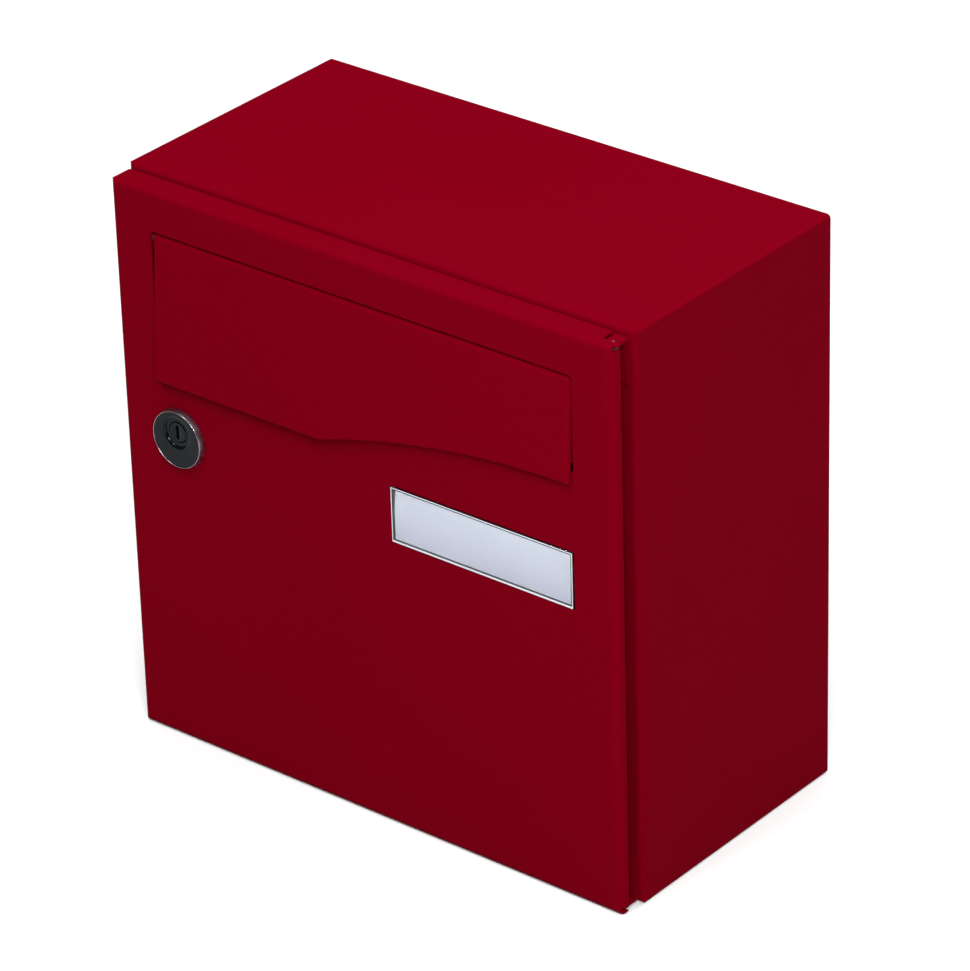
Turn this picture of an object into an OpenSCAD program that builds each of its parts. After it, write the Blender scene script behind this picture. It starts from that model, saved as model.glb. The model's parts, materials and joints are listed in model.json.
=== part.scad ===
/* [Casing] */
// Width of the casing, left to right
box_w = 292; // [272:1:340]
// Height of the casing
box_h = 290; // [270:1:340]
// Depth of the casing, from the wall to the frame round its mouth
casing_d = 141.5; // [100:0.5:220]
// Thickness of the folded steel sheet
sheet_t = 1; // [0.8:0.1:1.2]
// Outer radius of the bends
bend_r = 3; // [2:0.25:3.5]
// Outer radius of the casing's long edges
edge_r = 2; // [1.5:0.25:3]
// Width of the frame turned in round the casing's mouth
frame_w = 14; // [14:0.5:18]

/* [Back panel] */
// Depth of the edge turned in round the back panel
back_edge = 12; // [8:1:20]
// Spacing of the wall holes, left to right
wall_pitch_x = 200; // [120:5:220]
// Spacing of the wall holes, up and down
wall_pitch_z = 200; // [120:5:220]
// Diameter of the wall holes
wall_hole_d = 6.5; // [5:0.5:10]

/* [Door] */
// Distance from the casing's front frame to the door's face
door_stand = 14; // [14:0.5:20]
// Gap between the door's turned edge and the casing's front frame
door_gap = 1.5; // [1:0.25:2]
// How far the door's left and right edges are set in from the casing's
door_side = 1.5; // [0.5:0.1:2]
// How far the door's top is set down from the casing's
door_top = 2.5; // [1:0.25:4]
// How far the door's bottom is set up from the casing's
door_bottom = 0.5; // [0.25:0.25:2]
// Radius of the door's corners, seen from the front
door_corner_r = 1.5; // [1.25:0.25:3]
// Outer radius of the door's bend on the hinge side
hinge_bend = 5; // [3:0.25:5]
// Depth of the door's edge on the hinge side
hinge_edge = 5; // [4:0.1:5]
// Length cut back at the hinge end of the top and bottom edges
relief_l = 9.5; // [8.5:0.5:12]
// Width of the lip turned in behind the door's lock side
lip_w = 10; // [8:0.5:13]
// Diameter of the rubber buffers that the lip closes on
buffer_d = 7; // [5:0.5:8]
// Height of the buffers above and below the middle of the casing
buffer_up = 105; // [60:5:115]

/* [Door hinge] */
// Distance from the casing's side to the hinge axis
hinge_in = 7; // [6.5:0.25:7.5]
// Distance from the door's face back to the hinge axis
hinge_back = 6; // [6:0.25:6.5]
// Diameter of the hinge pins
pin_d = 3; // [2.5:0.25:3]
// Width of the hinge lugs
lug_w = 7; // [6.5:0.25:7]
// Thickness of the hinge brackets and leaves
lug_t = 1.5; // [1.2:0.1:2]
// Height of the hinge brackets and leaves
lug_l = 22; // [18:1:30]
// Wall of the nylon hinge bushes
bush_wall = 0.9; // [0.6:0.1:1]
// Thickness of the collar of the hinge bushes
bush_collar = 0.6; // [0.4:0.1:1]
// Diameter of the bracket rivets
rivet_d = 3.2; // [2.4:0.2:3.2]

/* [Letter flap] */
// Distance from the door's sides to the flap
flap_in = 24; // [23:0.5:45]
// Length of the flap below its hinge, at its deep end
flap_l = 70.5; // [60:0.5:76]
// How far the curved lower edge rises to the shallow end
flap_rise = 22; // [10:1:26]
// Length of the curved stretch of the lower edge
flap_run = 142; // [100:1:170]
// Lean of the flap out of the door's face, in degrees
flap_lean = 4; // [3:0.5:6]
// Radius of the bend that turns on the flap's rod
flap_r = 3; // [3:0.25:4]
// Outer radius of the bends at the flap's sides
flap_bend = 2; // [1.5:0.25:2.5]
// Outer radius of the bend along the flap's lower edge
flap_hem = 1.25; // [1.25:0.25:2]
// Diameter of the flap's rod
rod_d = 3; // [2:0.25:3]
// Depth of the flap's cheeks and of the rod brackets behind the door's face
cheek_d = 8.5; // [8:0.5:12]
// Distance from the door's top down to the letter slot
slot_drop = 20.5; // [16:0.5:30]
// Height of the letter slot
slot_h = 47.5; // [30:0.5:50]
// Gap beside and above the flap in the slot
slot_gap = 1; // [0.8:0.1:1.5]
// Gap between the lower end of a cheek and the slot's lower edge
cheek_gap = 5; // [3:0.5:8]

/* [Lock] */
// Distance from the door's left edge to the lock's middle
lock_in = 34.5; // [32:0.5:40]
// Distance from the letter slot down to the lock's middle
lock_drop = 55; // [50:1:80]
// Diameter of the lock's rim
rim_d = 30; // [29.5:0.5:34]
// Distance from the door's face to the front of the rim
rim_h = 3.2; // [2.8:0.1:4]
// Diameter of the black cap inside the rim
cap_d = 28; // [25:0.2:28.2]
// Diameter of the round dish in the cap
dish_d = 14.8; // [13:0.2:15]
// Height of the plug's axis above the lock's middle
plug_up = 3.4; // [2:0.2:3.6]
// Diameter of the plug
plug_d = 11; // [9:0.5:11]
// Diameter of the barrel
barrel_d = 20; // [19.5:0.5:22]
// Width of the barrel across its flats
barrel_flats = 17; // [16:0.5:18]
// Length of the cam from the plug's axis to its tip
cam_l = 31; // [27:0.5:32]
// Width of the cam at its tip
cam_w = 11; // [8:1:14]
// Thickness of the cam
cam_t = 1.5; // [1.2:0.1:2.5]

/* [Name holder] */
// Width of the clear name window
name_w = 103.4; // [90:0.2:115]
// Height of the clear name window
name_h = 28.2; // [24:0.2:34]
// Distance from the letter slot down to the window
name_drop = 39.5; // [36:0.5:60]
// How far the window stands ahead of the door's face
name_proud = 0.8; // [0.4:0.1:1]
// Wall of the window round the card's pocket
name_wall = 1.5; // [1:0.1:2.5]
// Thickness of the name card
card_t = 0.4; // [0.3:0.1:0.5]

/* [Hidden] */
$fn = 64;

paint_red = [0.47, 0, 0.06];
steel = [0.72, 0.73, 0.75];
chrome = [0.85, 0.86, 0.88];
black = [0.10, 0.11, 0.12];
nylon = [0.90, 0.89, 0.84];

// Working clearances
fit = 0.05;        // round a pin or a rod that turns
seat = 0.3;        // between pieces that close on each other
past = 1;          // how far a cut runs past the face it opens

// The casing's planes: the wall is at Y = 0 and the door is at low Y
half_w = box_w / 2;
half_h = box_h / 2;
frame_y = -casing_d;
face_y = frame_y - door_stand;
skin_y = face_y + sheet_t;
door_back = frame_y - door_gap;
door_x = half_w - door_side;
door_z0 = -half_h + door_bottom;
door_z1 = half_h - door_top;

// The door's hinge
hinge_x = half_w - hinge_in;
hinge_y = face_y + hinge_back;
lug_r = lug_w / 2;
upper_lug = door_z1 - sheet_t - seat;
lower_lug = -(door_z0 + sheet_t + seat);
bush_gap = 0.1;
leaf_down = lug_t + bush_gap + bush_collar;
pin_l = leaf_down + lug_t + 2;
bush_r = pin_d / 2 + fit + bush_wall;
rivet_x = hinge_x - 3.5;
rivet_first = 7;
rivet_pitch = 9;
rivet_head = 0.8;
rivet_head_d = rivet_d * 1.6;
bracket_x = half_w - frame_w + 0.5;
leaf_x = door_x - hinge_bend;

// The letter slot and the flap's hinge
flap_w = 2 * (door_x - flap_in);
slot_top = door_z1 - slot_drop;
slot_low = slot_top - slot_h;
slot_x = flap_w / 2 + slot_gap;
flap_y = face_y + flap_r;
flap_z = slot_top - slot_gap - flap_r;
flap_arc = (flap_run * flap_run + flap_rise * flap_rise) / (2 * flap_rise);
arc_fn = 720;
rod_lug_x = slot_x + 0.5;
rod_lug_r = 6;
rod_foot = 10;
rod_bend = 2.5;
rod_x = rod_lug_x + lug_t + 0.2;
rod_tail = 4.5;

// The lock, from the door's face backwards
lock_x = -door_x + lock_in;
lock_z = slot_low - lock_drop;
plug_z = lock_z + plug_up;
rim_wall = (rim_d - cap_d) / 2;
cap_back = 1.2;
cap_front = rim_h - 0.4;
dish_floor = cap_back + 0.4;
groove_d = 0.8;
groove_l = 1.3;
fork_t = 1.2;
fork_w = 30;
cam_gap = 0.5;
cam_from = door_stand + sheet_t + cam_gap;
barrel_to = cam_from - seat;
tail_w = 6;
washer_t = 0.8;
washer_d = 11;
screw_d = 4;
screw_l = 8;
screw_head_d = 7.5;
screw_head = 2.2;
keyway_w = 1.8;
keyway_h = 7.4;
keyway_l = 10;

// The name holder, from the door's face backwards
name_x1 = door_x - flap_in;
name_x0 = name_x1 - name_w;
name_z1 = slot_low - name_drop;
name_z0 = name_z1 - name_h;
name_fit = 0.4;
name_flange = 4;
name_front = 1.2;
name_to = 2.2;
card_from = name_front - name_proud + 0.05;
card_fit = 0.2;
carrier_t = 1.2;
tab_w = 16;
tab_d = 5;

// Sweeps of a flat outline along each axis: (z, y), (x, z) and (x, y) outlines
module along_x(x0, x1)
    translate([x0, 0, 0]) rotate([0, 90, 0]) linear_extrude(x1 - x0) mirror([1, 0]) children();

module along_y(y0, y1)
    translate([0, y1, 0]) rotate([90, 0, 0]) linear_extrude(y1 - y0) children();

module along_z(z0, z1)
    translate([0, 0, z0]) linear_extrude(z1 - z0) children();

// Rectangle between two opposite corners
module rect(low, high)
    translate(low) square(high - low);

// Rectangle with all four corners rounded
module round_rect(low, high, r) {
    rect([low.x + r, low.y], [high.x - r, high.y]);
    rect([low.x, low.y + r], [high.x, high.y - r]);
    for (x = [low.x + r, high.x - r], y = [low.y + r, high.y - r])
        translate([x, y]) circle(r);
}

// Rectangle with only its two corners at low y rounded
module front_rect(low, high, r) {
    rect([low.x, low.y + r], high);
    rect([low.x + r, low.y], [high.x - r, high.y]);
    for (x = [low.x + r, high.x - r])
        translate([x, low.y + r]) circle(r);
}

// Block with bends round its front, as a folded pan has, and rounded long edges
module pan(x, z0, z1, y0, y1, bend, corner)
    intersection() {
        along_z(z0, z1) front_rect([-x, y0], [x, y1], bend);
        along_x(-x, x) front_rect([z0, y0], [z1, y1], bend);
        along_y(y0, y1) round_rect([-x, z0], [x, z1], corner);
    }

// Ring or disc about an axis along Y, between two depths behind the door's face
module disc(r, y0, y1)
    along_y(face_y + y0, face_y + y1) circle(r);

module casing()
    color(paint_red) difference() {
        pan(half_w, -half_h, half_h, frame_y, 0, bend_r, edge_r);
        pan(half_w - sheet_t, sheet_t - half_h, half_h - sheet_t, frame_y + sheet_t, past,
            bend_r - sheet_t, edge_r - sheet_t);
        along_y(frame_y - past, frame_y + sheet_t + past)
            rect([frame_w - half_w, frame_w - half_h], [half_w - frame_w, half_h - frame_w]);
        rivet_pair(upper_lug, rivet_d, frame_y - past, frame_y + sheet_t + past);
        mirror_lower() rivet_pair(lower_lug, rivet_d, frame_y - past, frame_y + sheet_t + past);
    }

module back_panel() {
    x = half_w - sheet_t;
    z = half_h - sheet_t;
    color(paint_red) mirror([0, 1, 0]) difference() {
        pan(x, -z, z, 0, back_edge, bend_r, edge_r - sheet_t);
        pan(x - sheet_t, sheet_t - z, z - sheet_t, sheet_t, back_edge + past,
            bend_r - sheet_t, edge_r - sheet_t);
        along_y(-past, sheet_t + past)
            for (x = [-wall_pitch_x, wall_pitch_x] / 2, z = [-wall_pitch_z, wall_pitch_z] / 2)
                translate([x, z]) circle(d = wall_hole_d);
    }
}

// The lower hinge is the upper one turned over
module mirror_lower() mirror([0, 0, 1]) children();

// Two rounds at one bracket's rivets; top is the height of its lug's upper face
module rivet_pair(top, d, y0, y1)
    along_y(y0, y1)
        for (step = [0, 1])
            translate([rivet_x, top - rivet_first - step * rivet_pitch]) circle(d = d);

module bracket_rivet_pair(top) {
    rivet_pair(top, rivet_d, frame_y - lug_t, frame_y + sheet_t);
    rivet_pair(top, rivet_head_d, frame_y - lug_t - rivet_head, frame_y - lug_t);
    rivet_pair(top, rivet_head_d, frame_y + sheet_t, frame_y + sheet_t + rivet_head);
}

module bracket_rivets()
    color(paint_red) {
        bracket_rivet_pair(upper_lug);
        mirror_lower() bracket_rivet_pair(lower_lug);
    }

// Bracket on the casing's frame; top is the height of its lug's upper face
module hinge_bracket(top)
    color(paint_red) difference() {
        union() {
            along_z(top - lug_t, top) {
                rect([hinge_x - lug_r, hinge_y], [hinge_x + lug_r, frame_y]);
                translate([hinge_x, hinge_y]) circle(lug_r);
            }
            translate([bracket_x, frame_y - lug_t, top - lug_l])
                cube([hinge_x + lug_r - bracket_x, lug_t, lug_l]);
        }
        translate([hinge_x, hinge_y, top - lug_t - past]) cylinder(d = pin_d, h = lug_t + 2 * past);
        rivet_pair(top, rivet_d, frame_y - lug_t - past, frame_y + past);
    }

module hinge_bracket_upper() hinge_bracket(upper_lug);
module hinge_bracket_lower() mirror_lower() hinge_bracket(lower_lug);

module hinge_pin(top)
    color(steel) translate([hinge_x, hinge_y, top - pin_l]) cylinder(d = pin_d, h = pin_l);

module hinge_pin_upper() hinge_pin(upper_lug);
module hinge_pin_lower() mirror_lower() hinge_pin(lower_lug);

// Leaf welded behind the door's face, its lug under the bracket's
module hinge_leaf(top) {
    high = top - leaf_down;
    color(paint_red) difference() {
        union() {
            along_z(high - lug_t, high) {
                rect([hinge_x - lug_r, skin_y], [leaf_x, hinge_y]);
                translate([hinge_x, hinge_y]) circle(lug_r);
            }
            translate([leaf_x - lug_w, skin_y, high - lug_l]) cube([lug_w, lug_t, lug_l]);
        }
        translate([hinge_x, hinge_y, high - lug_t - past]) cylinder(r = bush_r, h = lug_t + 2 * past);
    }
}

module hinge_leaf_upper() hinge_leaf(upper_lug);
module hinge_leaf_lower() mirror_lower() hinge_leaf(lower_lug);

module hinge_bush(top) {
    high = top - leaf_down;
    color(nylon) translate([hinge_x, hinge_y, high]) difference() {
        union() {
            translate([0, 0, -lug_t]) cylinder(r = bush_r, h = lug_t);
            cylinder(r = bush_r + 0.8, h = bush_collar);
        }
        translate([0, 0, -lug_t - past]) cylinder(r = pin_d / 2 + fit, h = lug_t + bush_collar + 2 * past);
    }
}

module hinge_bush_upper() hinge_bush(upper_lug);
module hinge_bush_lower() mirror_lower() hinge_bush(lower_lug);

module door_buffers()
    color(black) along_y(door_back + seat, frame_y)
        for (z = [-buffer_up, buffer_up])
            translate([-half_w + bend_r + buffer_d / 2, z]) circle(d = buffer_d);

// Outline of the door from above: rounded at its face and where the lip turns in
module door_outline(inset) {
    r = bend_r - inset;
    low = [-door_x + inset, face_y + inset];
    round_rect(low, [-door_x + 2 * lip_w, door_back - inset], r);
    front_rect([-door_x + lip_w, low.y], [door_x - inset, door_back + (inset > 0 ? past : 0)],
        hinge_bend - inset);
}

module door_form(inset) {
    z0 = door_z0 + inset;
    z1 = door_z1 - inset;
    intersection() {
        along_z(z0, z1) door_outline(inset);
        along_x(-door_x, door_x) front_rect([z0, face_y + inset], [z1, door_back + past], bend_r - inset);
        along_y(face_y, door_back + past)
            round_rect([-door_x + inset, z0], [door_x - inset, z1], door_corner_r - inset);
    }
}

module door_panel()
    color(paint_red) difference() {
        door_form(0);
        door_form(sheet_t);
        // The top and bottom edges and the hinge-side edge are cut back round the hinge
        translate([door_x - relief_l, face_y + hinge_edge, door_z0 - past])
            cube([relief_l + past, door_back - face_y, door_z1 - door_z0 + 2 * past]);
        hinge_notch(upper_lug);
        mirror_lower() hinge_notch(lower_lug);
        along_y(face_y - past, skin_y + past) {
            round_rect([-slot_x, slot_low], [slot_x, slot_top], flap_bend);
            rect([name_x0 - name_fit, name_z0 - name_fit], [name_x1 + name_fit, name_z1 + name_fit]);
            translate([lock_x, lock_z]) barrel_section(seat / 2);
        }
    }

// Room in the hinge-side edge for the bracket's lug as the door swings open
module hinge_notch(top)
    translate([hinge_x + lug_r - 0.5, skin_y + seat, top - lug_t - seat])
        cube([lug_w, hinge_edge + past, lug_t + 2 * seat]);

// Form of the flap about its hinge axis, shrunk by a wall all round
module flap_form(inset, deep) {
    x = flap_w / 2 - inset;
    front = inset - flap_r;
    low = inset - flap_l;
    arc = flap_arc + inset;
    intersection() {
        along_z(-2 * flap_l, flap_r) front_rect([-x, front], [x, deep], flap_bend - inset);
        along_x(-x, x) {
            circle(flap_r - inset);
            rect([-2 * flap_l, front], [0, deep]);
            rect([0, 0], [flap_r - inset, deep]);
        }
        along_x(-x, x) front_rect([low, front], [2 * flap_r, deep], flap_hem - inset);
        // The curved stretch of the lower edge, level at the shallow end
        translate([flap_w / 2, 0, low + flap_rise - arc]) rotate([-90, 0, 0])
            rotate_extrude($fn = arc_fn)
                front_rect([arc, front], [arc + 2 * flap_l, deep], flap_hem - inset);
    }
}

module letter_flap()
    color(paint_red) translate([0, flap_y, flap_z]) difference() {
        intersection() {
            rotate([-flap_lean, 0, 0]) difference() {
                flap_form(0, 2 * cheek_d);
                flap_form(sheet_t, 2 * cheek_d + past);
            }
            // The edges stop just ahead of the door, and the cheeks reach into the slot
            union() {
                translate([-flap_w, -flap_l, -2 * flap_l])
                    cube([2 * flap_w, flap_l - flap_r - seat, 3 * flap_l]);
                translate([-flap_w, -flap_l, slot_low + cheek_gap - flap_z])
                    cube([2 * flap_w, flap_l + cheek_d - flap_r, flap_l]);
            }
        }
        along_x(-flap_w, flap_w) circle(rod_d / 2 + fit);
    }

// Rod with both ends bent back behind the brackets to hold it
module flap_rod()
    color(steel) translate([0, flap_y, flap_z]) {
        along_x(-rod_x, rod_x) circle(d = rod_d);
        for (side = [0, 1]) mirror([side, 0, 0]) translate([rod_x, rod_bend, 0]) {
            rotate([0, 0, -90]) rotate_extrude(angle = 90) translate([rod_bend, 0]) circle(d = rod_d);
            translate([rod_bend, 0, 0]) rotate([-90, 0, 0]) cylinder(d = rod_d, h = rod_tail);
        }
    }

// Angle behind the door beside the slot, with a lug for the end of the rod
module flap_bracket_right()
    color(paint_red) difference() {
        union() {
            along_x(rod_lug_x, rod_lug_x + lug_t) intersection() {
                union() {
                    rect([flap_z - rod_lug_r, skin_y], [flap_z + rod_lug_r, flap_y]);
                    translate([flap_z, flap_y]) circle(rod_lug_r);
                }
                rect([flap_z - rod_lug_r, skin_y], [flap_z + rod_lug_r, face_y + cheek_d]);
            }
            translate([rod_lug_x, skin_y, flap_z - rod_lug_r]) cube([rod_foot, sheet_t, 2 * rod_lug_r]);
        }
        // Window in the foot round the bent end of the rod
        translate([rod_lug_x + lug_t, skin_y - past, flap_z - rod_d])
            cube([rod_bend + rod_d, sheet_t + 2 * past, 2 * rod_d]);
        translate([0, flap_y, flap_z]) along_x(slot_x, rod_lug_x + rod_foot) circle(d = rod_d);
    }

module flap_bracket_left() mirror([1, 0, 0]) flap_bracket_right();

// Section of the barrel: a round with two flats
module barrel_section(gap)
    intersection() {
        circle(barrel_d / 2 + gap);
        square([barrel_flats + 2 * gap, barrel_d + 2], center = true);
    }

module at_lock() translate([lock_x, 0, lock_z]) children();
module at_plug() translate([lock_x, 0, plug_z]) children();

module lock_barrel()
    color(steel) difference() {
        at_lock() union() {
            disc(cap_d / 2, -cap_back, 0);
            along_y(face_y, face_y + barrel_to) barrel_section(0);
        }
        at_plug() disc(plug_d / 2 + fit, -cap_back - past, barrel_to + past);
        // Grooves in the flats that the fork slides into
        at_lock() for (side = [-1, 1])
            translate([side * (barrel_flats / 2 - groove_d / 2 + past / 2) - (groove_d + past) / 2,
                    skin_y, -barrel_d])
                cube([groove_d + past, groove_l, 2 * barrel_d]);
    }

module lock_rim()
    color(chrome) translate([lock_x, face_y, lock_z]) rotate([90, 0, 0]) rotate_extrude()
        polygon([
            [cap_d / 2, 0], [rim_d / 2, 0], [rim_d / 2, rim_h * 0.45],
            [rim_d / 2 - rim_wall * 0.4, rim_h * 0.9], [rim_d / 2 - rim_wall * 0.6, rim_h],
            [cap_d / 2, rim_h * 0.95]
        ]);

module lock_cap()
    color(black) difference() {
        at_lock() disc(cap_d / 2, -cap_front, -cap_back);
        at_plug() disc(dish_d / 2, -cap_front - past, -dish_floor);
        at_plug() disc(plug_d / 2 + fit, -cap_front, 0);
    }

module lock_plug()
    color(black) difference() {
        union() {
            at_plug() disc(plug_d / 2, -dish_floor - 0.4, barrel_to + seat);
            translate([lock_x - tail_w / 2, face_y + cam_from - past, plug_z - tail_w / 2])
                cube([tail_w, cam_t + past, tail_w]);
        }
        translate([lock_x - keyway_w / 2, face_y - rim_h, plug_z - keyway_h / 2])
            cube([keyway_w, rim_h + keyway_l, keyway_h]);
        at_plug() disc(screw_d / 2, cam_from + cam_t - screw_l, cam_from + cam_t + past);
    }

// Cam hanging from the plug's square tail: unlocked at rest
module lock_cam()
    color(steel) at_plug() along_y(face_y + cam_from, face_y + cam_from + cam_t) difference() {
        union() {
            circle(tail_w * 1.3);
            polygon([[-tail_w * 1.3, 0], [-cam_w / 2, cam_w / 2 - cam_l],
                [cam_w / 2, cam_w / 2 - cam_l], [tail_w * 1.3, 0]]);
            translate([0, cam_w / 2 - cam_l]) circle(d = cam_w);
        }
        square(tail_w, center = true);
    }

module cam_washer()
    color(steel) at_plug() along_y(face_y + cam_from + cam_t, face_y + cam_from + cam_t + washer_t)
        difference() {
            circle(d = washer_d);
            circle(d = screw_d);
        }

module cam_screw()
    color(steel) at_plug() difference() {
        union() {
            disc(screw_d / 2, cam_from + cam_t - screw_l, cam_from + cam_t + washer_t);
            disc(screw_head_d / 2, cam_from + cam_t + washer_t, cam_from + cam_t + washer_t + screw_head);
        }
        // Cross recess in the screw's head
        for (turn = [0, 90]) rotate([0, turn, 0])
            translate([-screw_d / 2, face_y + cam_from + cam_t + washer_t + screw_head / 2, -0.5])
                cube([screw_d, screw_head, 1]);
    }

// Spring steel fork pushed into the barrel's grooves behind the door
module lock_fork()
    color(steel) at_lock() along_y(skin_y, skin_y + fork_t) difference() {
        round_rect([-fork_w / 2, -fork_w / 2], [fork_w / 2, fork_w / 2], 3);
        intersection() {
            circle(barrel_d / 2 + seat / 2);
            rect([groove_d - barrel_flats / 2, -barrel_d], [barrel_flats / 2 - groove_d, barrel_d]);
        }
        rect([groove_d - barrel_flats / 2, -fork_w], [barrel_flats / 2 - groove_d, 0]);
    }

// Outline with its two front corners cut at 45 degrees
module chamfered(low, high, cut)
    polygon([[low.x + cut, low.y], [high.x - cut, low.y], [high.x, low.y + cut],
        [high.x, high.y], [low.x, high.y], [low.x, low.y + cut]]);

module name_window()
    color([0.85, 0.9, 0.95, 0.4]) difference() {
        union() {
            intersection() {
                along_z(name_z0, name_z1)
                    chamfered([name_x0, face_y - name_proud], [name_x1, skin_y + past], name_proud * 0.8);
                along_x(name_x0, name_x1)
                    chamfered([name_z0, face_y - name_proud], [name_z1, skin_y + past], name_proud * 0.8);
            }
            translate([name_x0 - name_flange, skin_y, name_z0 - name_flange])
                cube([name_w + 2 * name_flange, name_to - sheet_t, name_h + 2 * name_flange]);
        }
        translate([name_x0 + name_wall, face_y - name_proud + name_front, name_z0 + name_wall])
            cube([name_w - 2 * name_wall, name_to + past, name_h - 2 * name_wall]);
    }

module name_card()
    color("white")
        translate([name_x0 + name_wall + card_fit, face_y + card_from, name_z0 + name_wall + card_fit])
            cube([name_w - 2 * (name_wall + card_fit), card_t, name_h - 2 * (name_wall + card_fit)]);

module name_carrier()
    color(black) {
        translate([name_x0 + name_wall + card_fit, face_y + card_from + card_t, name_z0 + name_wall + card_fit])
            cube([name_w - 2 * (name_wall + card_fit), name_to - card_from - card_t,
                name_h - 2 * (name_wall + card_fit)]);
        translate([name_x0 - name_flange, face_y + name_to, name_z0 - name_flange])
            cube([name_w + 2 * name_flange, carrier_t, name_h + 2 * name_flange]);
        // Finger tab that the carrier is pulled off by
        translate([(name_x0 + name_x1 - tab_w) / 2, face_y + name_to + carrier_t, name_z0 - name_flange])
            cube([tab_w, tab_d, carrier_t]);
    }

casing();
back_panel();
hinge_bracket_upper();
hinge_bracket_lower();
hinge_pin_upper();
hinge_pin_lower();
bracket_rivets();
door_buffers();
door_panel();
hinge_leaf_upper();
hinge_leaf_lower();
hinge_bush_upper();
hinge_bush_lower();
flap_bracket_left();
flap_bracket_right();
flap_rod();
letter_flap();
lock_barrel();
lock_rim();
lock_cap();
lock_fork();
lock_plug();
lock_cam();
cam_washer();
cam_screw();
name_window();
name_card();
name_carrier();
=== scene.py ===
"""Wall letter box of folded, painted sheet steel: its finishes, small forms, light and camera."""
import json
import math

import bmesh
import bpy
from mathutils import Matrix, Vector


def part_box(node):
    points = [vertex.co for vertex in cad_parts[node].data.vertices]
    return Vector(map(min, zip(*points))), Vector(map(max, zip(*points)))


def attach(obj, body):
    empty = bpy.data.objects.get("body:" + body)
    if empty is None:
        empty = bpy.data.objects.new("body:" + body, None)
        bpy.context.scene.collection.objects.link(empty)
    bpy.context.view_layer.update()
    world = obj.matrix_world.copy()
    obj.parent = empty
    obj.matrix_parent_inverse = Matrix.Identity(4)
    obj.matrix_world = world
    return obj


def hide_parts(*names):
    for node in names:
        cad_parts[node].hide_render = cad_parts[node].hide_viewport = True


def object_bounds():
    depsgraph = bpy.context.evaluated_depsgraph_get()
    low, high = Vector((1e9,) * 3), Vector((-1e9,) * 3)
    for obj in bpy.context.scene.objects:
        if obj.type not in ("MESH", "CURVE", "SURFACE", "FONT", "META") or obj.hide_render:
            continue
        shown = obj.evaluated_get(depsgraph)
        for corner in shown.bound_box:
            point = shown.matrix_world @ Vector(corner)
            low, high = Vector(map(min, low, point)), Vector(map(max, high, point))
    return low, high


MM = 0.001
FRONT = Vector((0, -1, 0))
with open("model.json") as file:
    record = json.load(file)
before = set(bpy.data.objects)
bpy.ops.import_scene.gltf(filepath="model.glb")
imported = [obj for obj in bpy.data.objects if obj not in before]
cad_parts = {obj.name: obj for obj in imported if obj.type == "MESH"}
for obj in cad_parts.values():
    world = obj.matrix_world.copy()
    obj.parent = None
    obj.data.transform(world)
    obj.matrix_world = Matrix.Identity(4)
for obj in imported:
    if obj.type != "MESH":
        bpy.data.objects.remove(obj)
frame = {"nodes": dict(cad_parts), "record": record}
nodes = frame["nodes"]
cad_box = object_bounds()
door_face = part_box("door_panel")[0].y

# The photograph's view: turned round the box, raised and tipped in degrees, placed in metres
VIEW_AZIMUTH = 39.785
VIEW_ELEVATION = 28.55
VIEW_ROLL = -1.702
VIEW_DISTANCE = 2.4566
VIEW_TARGET = Vector((0.00537, -0.07584, -0.00362))
VIEW_REACH = 50

# The camera's lens and sensor, in millimetres
VIEW_LENS = 197.4
VIEW_SENSOR = 36

# Colours of the finishes, as linear light
RED_PAINT = (0.110, 0.00005, 0.0046)
RED_DEEP = (0.102, 0.00005, 0.0032)
RED_SHINE = (1.0, 0.16, 0.2)
ZINC_PALE = (0.46, 0.47, 0.49)
ZINC_DARK = (0.31, 0.32, 0.34)
CHROME = (0.34, 0.31, 0.36)
BLACK_GLOSS = (0.001, 0.002, 0.003)
BLACK_MATT = (0.020, 0.021, 0.022)
BLACK_NYLON = (0.045, 0.046, 0.048)
CARD_WHITE = (0.82, 0.86, 0.92)
# grey of the painted shade laid on the card's foot
CARD_PAINTED_SHADE = (0.50, 0.52, 0.62)
CLEAR_BODY = (0.95, 0.97, 1.0)
# light grey painted highlight on the band round the window's pane
CLEAR_EDGE_HIGHLIGHT = (0.64, 0.66, 0.71)
PAPER_GREY = (0.63, 0.63, 0.63)

# How strongly light bends in the clear plastic
CLEAR_IOR = 1.46

# The lock's ring, with its lip round the cap
RIM_SHOULDER = 0.5 * MM  # height of its outer edge over the door's face
RIM_ROUNDING = 0.2 * MM
LIP_WIDTH = 0.22 * MM
LIP_SET_BACK = 0.05 * MM  # how far the lip falls back towards the cap

# The dish in the lock's cap
DISH_RADIUS = 7.4 * MM
DISH_TAPER = 0.95  # width of its floor as a share of its mouth
DISH_FLOOR = 1.6 * MM  # height of its floor over the door's face
DISH_EDGE = 1.2 * MM
DISH_FILLET = 0.5 * MM

# The lock's plug
PLUG_PLAY = 0.05 * MM
PLUG_CHAMFER = 0.7 * MM
KEYWAY_WIDTH = 1.8 * MM
KEYWAY_HEIGHT = 7.4 * MM
KEYWAY_DEPTH = 6 * MM
KEYWAY_ROUNDING = 0.25 * MM
TAIL_WIDTH = 6 * MM
TAIL_SEAT = 1 * MM  # length of the square tail that lies in the round core

# The name holder's window and card
WINDOW_FLANGE = 4 * MM  # width of the flange behind the door's sheet
FLANGE_THICKNESS = 1.2 * MM
WINDOW_WALL = 1.5 * MM
WINDOW_PANE = 1.2 * MM
WINDOW_BEVEL = 0.4 * MM
RIM_BAND = 0.55 * MM  # width of the band round the pane, which carries a painted highlight, and what it has more at foot and left
RIM_BAND_FOOT = 0.7 * MM
RIM_BAND_LEFT = 0.2 * MM
CARD_THICKNESS = 0.4 * MM
CARD_BOW = 1.1 * MM
CARD_BOW_FADE = 6  # how fast the bow dies away across the card
CARD_FACES_ACROSS = 32
CARD_FACES_UP = 12

# The rivets in the hinge brackets
RIVET_RADIUS = 2.56 * MM
RIVET_PITCH = 9 * MM
RIVET_DOME = 0.8 * MM
RIVET_DOME_STEPS = 6

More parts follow.
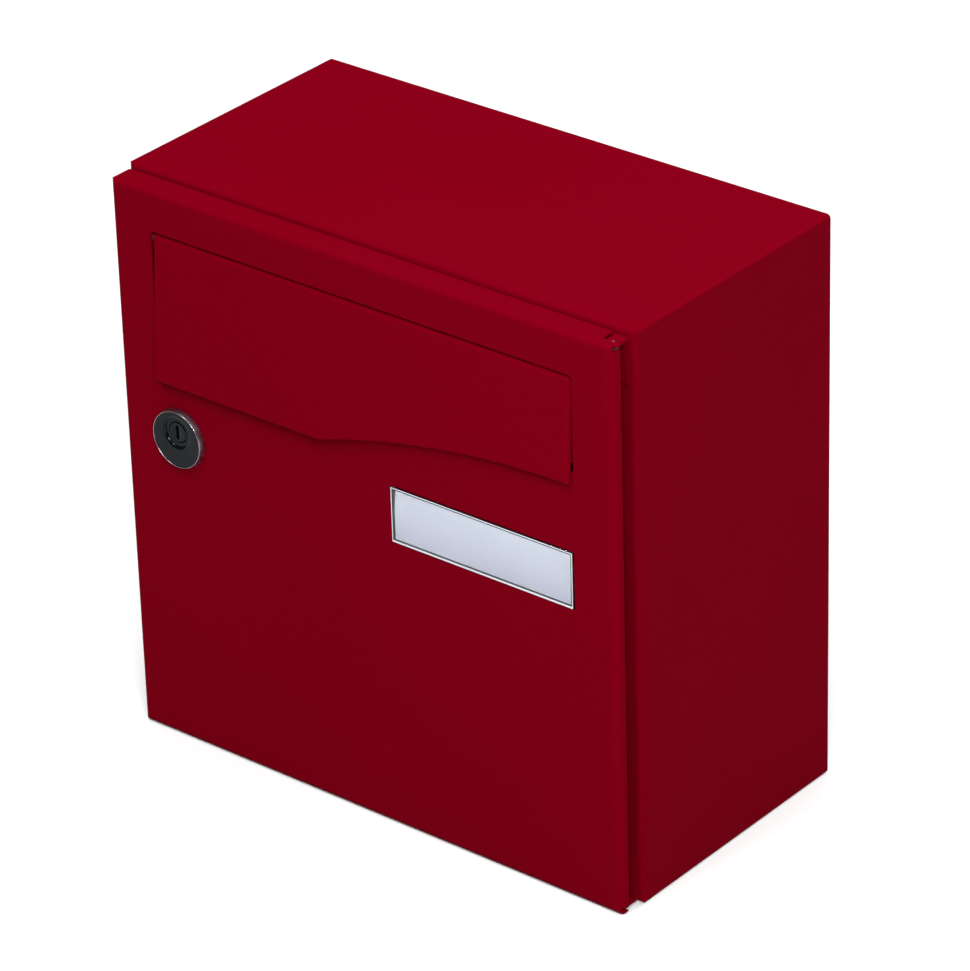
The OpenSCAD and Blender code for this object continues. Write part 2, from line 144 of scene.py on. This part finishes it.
# How finely and how exactly the pieces are made
ROUND_STEPS = 96
MERGE = 0.001 * MM
SAME_DEPTH = 0.01 * MM
SAME_WAY = 0.99
SMOOTH_ANGLE = 38

# The studio: softboxes with place and side in metres and power in watts, and the paper floor
SOFTBOXES = (
    ("key", (1.27, -1.40, 1.45), 0.8, 73),
    ("front_top", (-0.25, -1.25, 2.2), 0.6, 36),
    ("overhead", (0, 0.5, 2.8), 3.4, 102),
    ("back_fill", (0.5, 2.6, 0.9), 1.2, 42),
)
SOFTBOX_AIM = Vector((0, -0.07, 0))
STUDIO_GLOW = 0.12
FLOOR_REACH = 6


class Finish:
    """A material with its principled shader, and short ways to wire a pattern into it."""

    def __init__(self, name, colour, roughness, metallic=0.0):
        self.material = bpy.data.materials.new(name)
        self.material.use_nodes = True
        self.tree = self.material.node_tree
        self.shader = self.tree.nodes["Principled BSDF"]
        self.set("Base Color", (*colour, 1))
        self.set("Roughness", roughness)
        self.set("Metallic", metallic)
        self.place = self.tree.nodes.new("ShaderNodeTexCoord").outputs["Object"]

    def set(self, socket, value):
        self.shader.inputs[socket].default_value = value

    def node(self, kind, **values):
        """Adds a node; a socket's value goes by the socket's name, with _ for each space."""
        made = self.tree.nodes.new(kind)
        for name, value in values.items():
            if hasattr(made, name):
                setattr(made, name, value)
            else:
                made.inputs[name.replace("_", " ")].default_value = value
        return made

    def link(self, source, target):
        self.tree.links.new(source, target)

    def noise(self, scale, detail=2.0):
        """A cloudy pattern in the object's own metres, with about scale blotches in each."""
        made = self.node("ShaderNodeTexNoise", Scale=scale, Detail=detail)
        self.link(self.place, made.inputs["Vector"])
        return made.outputs["Fac"]

    def blend_colours(self, factor, low, high):
        """Mixes two colours by a pattern and gives it to the base colour."""
        mix = self.node("ShaderNodeMix", data_type="RGBA")
        mix.inputs["A"].default_value = (*low, 1)
        mix.inputs["B"].default_value = (*high, 1)
        self.link(factor, mix.inputs["Factor"])
        self.link(mix.outputs["Result"], self.shader.inputs["Base Color"])

    def vary_roughness(self, factor, low, high):
        """Lets the roughness run from low to high by a pattern."""
        span = self.node("ShaderNodeMapRange", To_Min=low, To_Max=high)
        self.link(factor, span.inputs["Value"])
        self.link(span.outputs["Result"], self.shader.inputs["Roughness"])

    def raise_bump(self, height, depth, strength, under=None):
        """Adds a bump of a real depth, over another one if there is one."""
        bump = self.node("ShaderNodeBump", Strength=strength, Distance=depth)
        self.link(height, bump.inputs["Height"])
        if under is not None:
            self.link(under, bump.inputs["Normal"])
        self.link(bump.outputs["Normal"], self.shader.inputs["Normal"])
        return bump.outputs["Normal"]


def powder_coat():
    """Satin red powder coat: a soft orange peel over a fine grain, and hardly any gloss."""
    coat = Finish("red_powder_coat", RED_PAINT, 0.42)
    coat.set("Specular IOR Level", 0.0018)
    coat.set("Specular Tint", (*RED_SHINE, 1))
    coat.blend_colours(coat.noise(7), RED_DEEP, RED_PAINT)
    coat.vary_roughness(coat.noise(60, detail=3), 0.36, 0.5)
    grain = coat.raise_bump(coat.noise(2600, detail=1), 0.01 * MM, 0.3)
    coat.raise_bump(coat.noise(420), 0.06 * MM, 0.35, under=grain)
    return coat.material


def zinc_plate():
    """Bright zinc plating with faint cloudy spangle."""
    zinc = Finish("zinc_plate", ZINC_PALE, 0.34, metallic=1.0)
    zinc.blend_colours(zinc.noise(220, detail=3), ZINC_DARK, ZINC_PALE)
    zinc.vary_roughness(zinc.noise(500), 0.26, 0.46)
    zinc.raise_bump(zinc.noise(1500), 0.01 * MM, 0.4)
    return zinc.material


def cast_zinc():
    """Dull die cast body of the lock."""
    cast = Finish("cast_zinc", ZINC_DARK, 0.5, metallic=1.0)
    cast.vary_roughness(cast.noise(700, detail=3), 0.42, 0.6)
    cast.raise_bump(cast.noise(1200, detail=3), 0.03 * MM, 0.5)
    return cast.material


def bright_chrome():
    """Satin chrome of the ring round the lock."""
    chrome = Finish("bright_chrome", CHROME, 0.1, metallic=1.0)
    chrome.vary_roughness(chrome.noise(300), 0.22, 0.32)
    chrome.raise_bump(chrome.noise(900), 0.004 * MM, 0.4)
    return chrome.material


def black_lacquer():
    """Glossy black of the lock's cap and plug."""
    lacquer = Finish("black_lacquer", BLACK_GLOSS, 0.14)
    lacquer.set("Specular IOR Level", 0.11)
    lacquer.vary_roughness(lacquer.noise(500, detail=3), 0.04, 0.09)
    lacquer.raise_bump(lacquer.noise(1400), 0.006 * MM, 0.4)
    return lacquer.material


def moulded(name, colour, rough):
    """Moulded plastic or rubber with a fine spark-eroded grain."""
    plastic = Finish(name, colour, rough)
    plastic.vary_roughness(plastic.noise(300), rough - 0.06, rough + 0.08)
    plastic.raise_bump(plastic.noise(2200), 0.02 * MM, 0.5)
    return plastic.material


def clear_plastic():
    """Clear moulded window that shows the card behind it."""
    clear = Finish("clear_plastic", CLEAR_BODY, 0.03)
    clear.set("Transmission Weight", 1.0)
    clear.set("IOR", CLEAR_IOR)
    clear.vary_roughness(clear.noise(90), 0.02, 0.06)
    return clear.material


def painted_edge_highlight():
    """The band round the window's pane: its light grey is a painted highlight for the light the
    clear plastic gathers there.
    """
    edge = Finish("painted_edge_highlight", CLEAR_EDGE_HIGHLIGHT, 0.12)
    edge.set("Transmission Weight", 0.3)
    edge.set("IOR", CLEAR_IOR)
    edge.vary_roughness(edge.noise(120), 0.06, 0.2)
    edge.raise_bump(edge.noise(600), 0.02 * MM, 0.4)
    return edge.material


def card_stock():
    """Smooth card, bluish white, with painted shade that makes it a little greyer towards its
    foot.
    """
    card = Finish("card_stock", CARD_WHITE, 0.55)
    low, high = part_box("name_card")
    split = card.node("ShaderNodeSeparateXYZ")
    card.link(card.place, split.inputs["Vector"])
    # painted shade: the colour greys from the card's top to its foot, standing in for shade, with
    # random clouding added
    painted_shade_up = card.node("ShaderNodeMapRange", From_Min=low.z, From_Max=high.z,
                       To_Min=0.1, To_Max=0.8)
    card.link(split.outputs["Z"], painted_shade_up.inputs["Value"])
    cloud = card.node("ShaderNodeMapRange", To_Min=-0.2, To_Max=0.2)
    card.link(card.noise(30), cloud.inputs["Value"])
    total = card.node("ShaderNodeMath", operation="ADD")
    card.link(painted_shade_up.outputs["Result"], total.inputs[0])
    card.link(cloud.outputs["Result"], total.inputs[1])
    card.blend_colours(total.outputs["Value"], CARD_PAINTED_SHADE, CARD_WHITE)
    card.raise_bump(card.noise(3000), 0.01 * MM, 0.4)
    return card.material


def make_finishes():
    """One finish for each material slot, and one with a painted highlight for the band round the
    window's pane.
    """
    return {
        "red_paint": powder_coat(),
        "zinc_steel": zinc_plate(),
        "lock_zinc": cast_zinc(),
        "chrome_rim": bright_chrome(),
        "black_gloss": black_lacquer(),
        "black_plastic": moulded("black_plastic", BLACK_MATT, 0.5),
        "black_rubber": moulded("black_rubber", BLACK_MATT, 0.75),
        "nylon": moulded("nylon", BLACK_NYLON, 0.45),
        "clear_window": clear_plastic(),
        "window_edge_highlight": painted_edge_highlight(),
        "name_card": card_stock(),
    }


def dress_nodes(finishes):
    """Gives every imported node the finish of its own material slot."""
    for sub in frame["record"]["subparts"]:
        mesh = nodes[sub["node"]].data
        mesh.materials.clear()
        mesh.materials.append(finishes[sub["material_slot"]])


def middle(node):
    low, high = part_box(node)
    return (low + high) / 2


def half_width(node):
    low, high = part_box(node)
    return (high.x - low.x) / 2


def only_verts(parts):
    return [part for part in parts if isinstance(part, bmesh.types.BMVert)]


def sharp_edges(form, degrees):
    """The edges between two faces that fold by more than an angle."""
    return [edge for edge in form.edges
            if len(edge.link_faces) == 2 and edge.calc_face_angle() > math.radians(degrees)]


def lies_at(edge, depth):
    return all(abs(vert.co.y - depth) < SAME_DEPTH for vert in edge.verts)


def round_edges(form, edges, radius, segments):
    bmesh.ops.bevel(form, geom=edges, offset=radius, offset_type="OFFSET", segments=segments,
                    profile=0.5, affect="EDGES", clamp_overlap=True, material=-1)


def flat_block(form, low, high):
    """A block between its lowest and its highest corner."""
    size = high - low
    place = Matrix.Translation((low + high) / 2) @ Matrix.Diagonal((*size, 1))
    bmesh.ops.create_cube(form, size=1, matrix=place)


def face_towards(form, direction):
    """The face that lies furthest along a direction and looks that way."""
    looking = [face for face in form.faces if face.normal.dot(direction) > SAME_WAY]
    return max(looking, key=lambda face: face.calc_center_median().dot(direction))


def step_face(form, face, margin, shift):
    """Insets a face by a margin and moves its middle along Y, with walls that follow it."""
    bmesh.ops.inset_region(form, faces=[face], thickness=margin, use_even_offset=True)
    drawn = bmesh.ops.extrude_face_region(form, geom=[face])["geom"]
    bmesh.ops.translate(form, vec=(0, shift, 0), verts=only_verts(drawn))
    bmesh.ops.delete(form, geom=[face], context="FACES_ONLY")
    form.normal_update()


def turn_profile(form, centre, profile):
    """Spins a profile of radius and depth once round an axis along Y."""
    points = [form.verts.new((centre.x + radius, depth, centre.z)) for radius, depth in profile]
    edges = [form.edges.new(pair) for pair in zip(points, points[1:])]
    bmesh.ops.spin(form, geom=points + edges, cent=(centre.x, 0, centre.z), axis=(0, 1, 0),
                   angle=math.tau, steps=ROUND_STEPS, use_merge=True)
    bmesh.ops.remove_doubles(form, verts=form.verts, dist=MERGE)


def ring_of_edges(form, centre, radius, depth, stretch=0.0):
    """A round loop of edges that faces the front, drawn out into an upright slot by stretch."""
    half_step = math.pi / ROUND_STEPS
    stand = Matrix.Translation((centre.x, depth, centre.z)) @ Matrix.Rotation(math.pi / 2, 4, "X")
    made = bmesh.ops.create_circle(form, segments=ROUND_STEPS, radius=radius,
                                   matrix=stand @ Matrix.Rotation(half_step, 4, "Z"))
    for vert in made["verts"]:
        vert.co.z += math.copysign(stretch, vert.co.z - centre.z)
    return list({edge for vert in made["verts"] for edge in vert.link_edges})


def push_ring(form, edges, shift, centre=None, scale=1.0):
    """Draws a loop of edges along Y, scaled about a centre, and returns the new loop."""
    made = bmesh.ops.extrude_edge_only(form, edges=edges)["geom"]
    verts = only_verts(made)
    bmesh.ops.translate(form, vec=(0, shift, 0), verts=verts)
    if centre is not None:
        about = Matrix.Translation((-centre.x, 0, -centre.z))
        bmesh.ops.scale(form, vec=(scale, 1, scale), space=about, verts=verts)
    fresh = set(verts)
    return [part for part in made
            if isinstance(part, bmesh.types.BMEdge) and set(part.verts) <= fresh]


def loop_radius(edges, centre):
    """Mean distance of a loop of edges from an axis along Y."""
    points = [vert.co for edge in edges for vert in edge.verts]
    return sum(math.hypot(p.x - centre.x, p.z - centre.z) for p in points) / len(points)


def finish_piece(name, form, body, stands_for, finishes, *slots):
    """Closes a form, dresses it and hangs it on the body of the solid that it stands for."""
    bmesh.ops.remove_doubles(form, verts=form.verts, dist=MERGE)
    bmesh.ops.recalc_face_normals(form, faces=form.faces)
    mesh = bpy.data.meshes.new(name)
    form.to_mesh(mesh)
    form.free()
    mesh.shade_smooth()
    mesh.set_sharp_from_angle(angle=math.radians(SMOOTH_ANGLE))
    for slot in slots:
        mesh.materials.append(finishes[slot])
    piece = bpy.data.objects.new(name, mesh)
    bpy.context.scene.collection.objects.link(piece)
    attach(piece, body)
    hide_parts(stands_for)


def lock_rim(finishes):
    """Bright ring: a low shoulder on the door, a long cone and a narrow lip round the cap."""
    low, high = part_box("lock_rim")
    outer = half_width("lock_rim")
    inner = half_width("lock_cap")
    form = bmesh.new()
    turn_profile(form, middle("lock_rim"), [
        (inner, high.y), (outer, high.y), (outer, high.y - RIM_SHOULDER),
        (inner + LIP_WIDTH, low.y), (inner, low.y + LIP_SET_BACK), (inner, high.y)])
    round_edges(form, sharp_edges(form, degrees=20), RIM_ROUNDING, segments=4)
    finish_piece("lock_bright_rim", form, "door", "lock_rim", finishes, "chrome_rim")


def lock_cap(finishes):
    """Black cap with a round dish above its middle, open in the dish's floor for the plug."""
    low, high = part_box("lock_cap")
    plug = middle("lock_plug")
    floor_depth = door_face - DISH_FLOOR
    form = bmesh.new()
    outline = ring_of_edges(form, middle("lock_cap"), half_width("lock_cap"), low.y)
    dish = ring_of_edges(form, plug, DISH_RADIUS, low.y)
    bmesh.ops.bridge_loops(form, edges=outline + dish)
    outline_back = push_ring(form, outline, high.y - low.y)
    floor = push_ring(form, dish, floor_depth - low.y, plug, DISH_TAPER)
    round_edges(form, floor, DISH_FILLET, segments=5)
    round_edges(form, dish, DISH_EDGE, segments=8)
    hole = [edge for edge in form.edges
            if len(edge.link_faces) == 1 and lies_at(edge, floor_depth)]
    bore_radius = half_width("lock_plug") + PLUG_PLAY
    bore = push_ring(form, hole, 0, plug, bore_radius / loop_radius(hole, plug))
    bore_back = push_ring(form, bore, high.y - floor_depth)
    bmesh.ops.bridge_loops(form, edges=outline_back + bore_back)
    finish_piece("lock_black_cap", form, "door", "lock_cap", finishes, "black_gloss")


def lock_plug(finishes):
    """Plug with a chamfered front, a keyway with rounded edges and its square tail."""
    low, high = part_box("lock_plug")
    centre = middle("lock_plug")
    radius = half_width("lock_plug")
    front_radius = radius - PLUG_CHAMFER
    end_radius = KEYWAY_WIDTH / 2
    barrel_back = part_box("lock_barrel")[1].y
    form = bmesh.new()
    front = ring_of_edges(form, centre, front_radius, low.y)
    keyway = ring_of_edges(form, centre, end_radius, low.y, KEYWAY_HEIGHT / 2 - end_radius)
    bmesh.ops.bridge_loops(form, edges=front + keyway)
    shoulder = push_ring(form, front, PLUG_CHAMFER, centre, radius / front_radius)
    end = push_ring(form, shoulder, barrel_back - low.y - PLUG_CHAMFER)
    bmesh.ops.edgeloop_fill(form, edges=end)
    bottom = push_ring(form, keyway, KEYWAY_DEPTH)
    bmesh.ops.edgeloop_fill(form, edges=bottom)
    round_edges(form, keyway, KEYWAY_ROUNDING, segments=3)
    half_tail = Vector((TAIL_WIDTH / 2, 0, TAIL_WIDTH / 2))
    flat_block(form, Vector((centre.x, barrel_back - TAIL_SEAT, centre.z)) - half_tail,
               Vector((centre.x, high.y, centre.z)) + half_tail)
    finish_piece("lock_keyed_plug", form, "lock_core", "lock_plug", finishes, "black_gloss")


def name_window(finishes):
    """Clear window: a flange behind the door, a bevelled rim and a thin pane over the card."""
    low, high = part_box("name_window")
    centre = middle("name_window")
    flange_front = high.y - FLANGE_THICKNESS
    form = bmesh.new()
    flat_block(form, Vector((low.x, flange_front, low.z)), high)
    form.normal_update()
    step_face(form, face_towards(form, FRONT), WINDOW_FLANGE, low.y - flange_front)
    step_face(form, face_towards(form, -FRONT), WINDOW_FLANGE + WINDOW_WALL,
              low.y + WINDOW_PANE - high.y)
    pane = face_towards(form, FRONT)
    bmesh.ops.inset_region(form, faces=[pane], thickness=RIM_BAND, use_even_offset=True)
    foot = [vert for vert in pane.verts if vert.co.z < centre.z]
    left = [vert for vert in pane.verts if vert.co.x < centre.x]
    bmesh.ops.translate(form, vec=(0, 0, RIM_BAND_FOOT), verts=foot)
    bmesh.ops.translate(form, vec=(RIM_BAND_LEFT, 0, 0), verts=left)
    # the band round the pane takes the second finish, its painted highlight
    for edge in pane.edges:
        for face in edge.link_faces:
            if face is not pane:
                face.material_index = 1
    rim = [edge for edge in sharp_edges(form, degrees=60) if lies_at(edge, low.y)]
    round_edges(form, rim, WINDOW_BEVEL, segments=2)
    finish_piece("clear_name_window", form, "door", "name_window", finishes,
                 "clear_window", "window_edge_highlight")


def name_card(finishes):
    """Card whose left edge bends in towards its top corner."""
    low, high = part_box("name_card")
    width = high.x - low.x
    height = high.z - low.z
    form = bmesh.new()
    stand = Matrix.Translation((low.x + width / 2, high.y, low.z + height / 2))
    stand @= Matrix.Rotation(math.pi / 2, 4, "X") @ Matrix.Diagonal((width, height, 1, 1))
    bmesh.ops.create_grid(form, x_segments=CARD_FACES_ACROSS, y_segments=CARD_FACES_UP,
                          size=0.5, matrix=stand)
    for vert in form.verts:
        across = (vert.co.x - low.x) / width
        up = (vert.co.z - low.z) / height
        vert.co.x += CARD_BOW * (2 * up - 1) ** 2 * (1 - across) ** CARD_BOW_FADE * up
    bmesh.ops.solidify(form, geom=form.faces[:], thickness=-CARD_THICKNESS)
    finish_piece("bowed_name_card", form, "door", "name_card", finishes, "name_card")


def domed_rivets(finishes):
    """Two rivets in each hinge bracket, with low domes in front and behind."""
    low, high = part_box("bracket_rivets")
    x = (low.x + high.x) / 2
    top = high.z - RIVET_RADIUS
    turns = [math.radians(90 * step / RIVET_DOME_STEPS) for step in range(RIVET_DOME_STEPS + 1)]
    dome = [(RIVET_RADIUS * math.cos(turn), RIVET_DOME * math.sin(turn)) for turn in turns]
    profile = [(radius, low.y + RIVET_DOME - rise) for radius, rise in reversed(dome)]
    profile += [(radius, high.y - RIVET_DOME + rise) for radius, rise in dome]
    form = bmesh.new()
    for z in (top, top - RIVET_PITCH, RIVET_PITCH - top, -top):
        turn_profile(form, Vector((x, 0, z)), profile)
    finish_piece("domed_rivets", form, "shell", "bracket_rivets", finishes, "red_paint")


def make_camera():
    """The photograph's camera, which stands off from its target and looks back at it."""
    turn = Matrix.Rotation(math.radians(VIEW_AZIMUTH), 4, "Z")
    tip = Matrix.Rotation(math.radians(90 - VIEW_ELEVATION), 4, "X")
    roll = Matrix.Rotation(math.radians(VIEW_ROLL), 4, "Z")
    back = Matrix.Translation((0, 0, VIEW_DISTANCE))
    lens = bpy.data.cameras.new("photo_view")
    lens.sensor_width = VIEW_SENSOR
    lens.lens = VIEW_LENS
    lens.clip_end = VIEW_REACH
    camera = bpy.data.objects.new("photo_view", lens)
    camera.matrix_world = Matrix.Translation(VIEW_TARGET) @ turn @ tip @ roll @ back
    bpy.context.scene.collection.objects.link(camera)
    bpy.context.scene.camera = camera


def soft_light(name, place, size, power):
    """A square softbox at a place, turned to the box."""
    lamp = bpy.data.lights.new(name, "AREA")
    lamp.shape = "SQUARE"
    lamp.size = size
    lamp.energy = power
    light = bpy.data.objects.new(name, lamp)
    light.location = place
    light.rotation_mode = "QUATERNION"
    light.rotation_quaternion = (Vector(place) - SOFTBOX_AIM).to_track_quat("Z", "Y")
    bpy.context.scene.collection.objects.link(light)


def make_studio():
    """A faint white glow all round, and the softboxes."""
    world = bpy.data.worlds.new("studio")
    world.use_nodes = True
    backdrop = world.node_tree.nodes["Background"]
    backdrop.inputs["Color"].default_value = (1, 1, 1, 1)
    backdrop.inputs["Strength"].default_value = STUDIO_GLOW
    bpy.context.scene.world = world
    bpy.context.scene.view_settings.view_transform = "Standard"
    for name, place, size, power in SOFTBOXES:
        soft_light(name, place, size, power)


def make_floor():
    """A sheet of pale paper at the foot of the box."""
    mesh = bpy.data.meshes.new("floor")
    form = bmesh.new()
    bmesh.ops.create_grid(form, x_segments=1, y_segments=1, size=FLOOR_REACH)
    bmesh.ops.translate(form, vec=(0, 0, cad_box[0].z), verts=form.verts)
    form.to_mesh(mesh)
    form.free()
    floor = bpy.data.objects.new("floor", mesh)
    paper = Finish("pale_paper", PAPER_GREY, 0.8)
    paper.set("Specular IOR Level", 0.1)
    mesh.materials.append(paper.material)
    bpy.context.scene.collection.objects.link(floor)


make_camera()
finishes = make_finishes()
dress_nodes(finishes)
for make_piece in (lock_rim, lock_cap, lock_plug, name_window, name_card, domed_rivets):
    make_piece(finishes)
make_studio()
make_floor()
